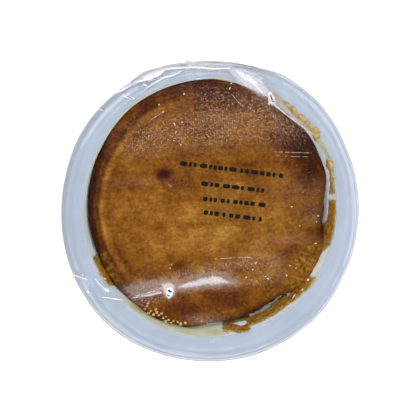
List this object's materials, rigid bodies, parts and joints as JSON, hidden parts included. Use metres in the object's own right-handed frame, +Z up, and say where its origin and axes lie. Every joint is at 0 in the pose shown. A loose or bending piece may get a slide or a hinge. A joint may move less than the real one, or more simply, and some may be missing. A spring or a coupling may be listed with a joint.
{
  "type": "sticky toffee pudding",
  "caption": "Individual sticky toffee sponge pudding in a round white plastic basin, sealed all over in clear shrink film with small steam vents.",
  "frame": {"origin": "centre of the underside, on the surface that the pack stands on", "axes": "+Z up through the middle of the mouth; +X is to the right and +Y up the picture in a view from above"},
  "size_m": [0.0962, 0.0962, 0.0511],
  "materials": {
    "white_plastic": "satin",
    "baked_sponge": "satin",
    "toffee_sauce": "gloss",
    "clear_film": "gloss"
  },
  "bodies": {
    "root": {"basin": "white_plastic", "sponge": "baked_sponge", "toffee_smear_right": "toffee_sauce", "toffee_smear_upper_right": "toffee_sauce", "toffee_smear_lower_right": "toffee_sauce", "toffee_smear_lower_left": "toffee_sauce", "film": "clear_film"}
  },
  "joints": []
}
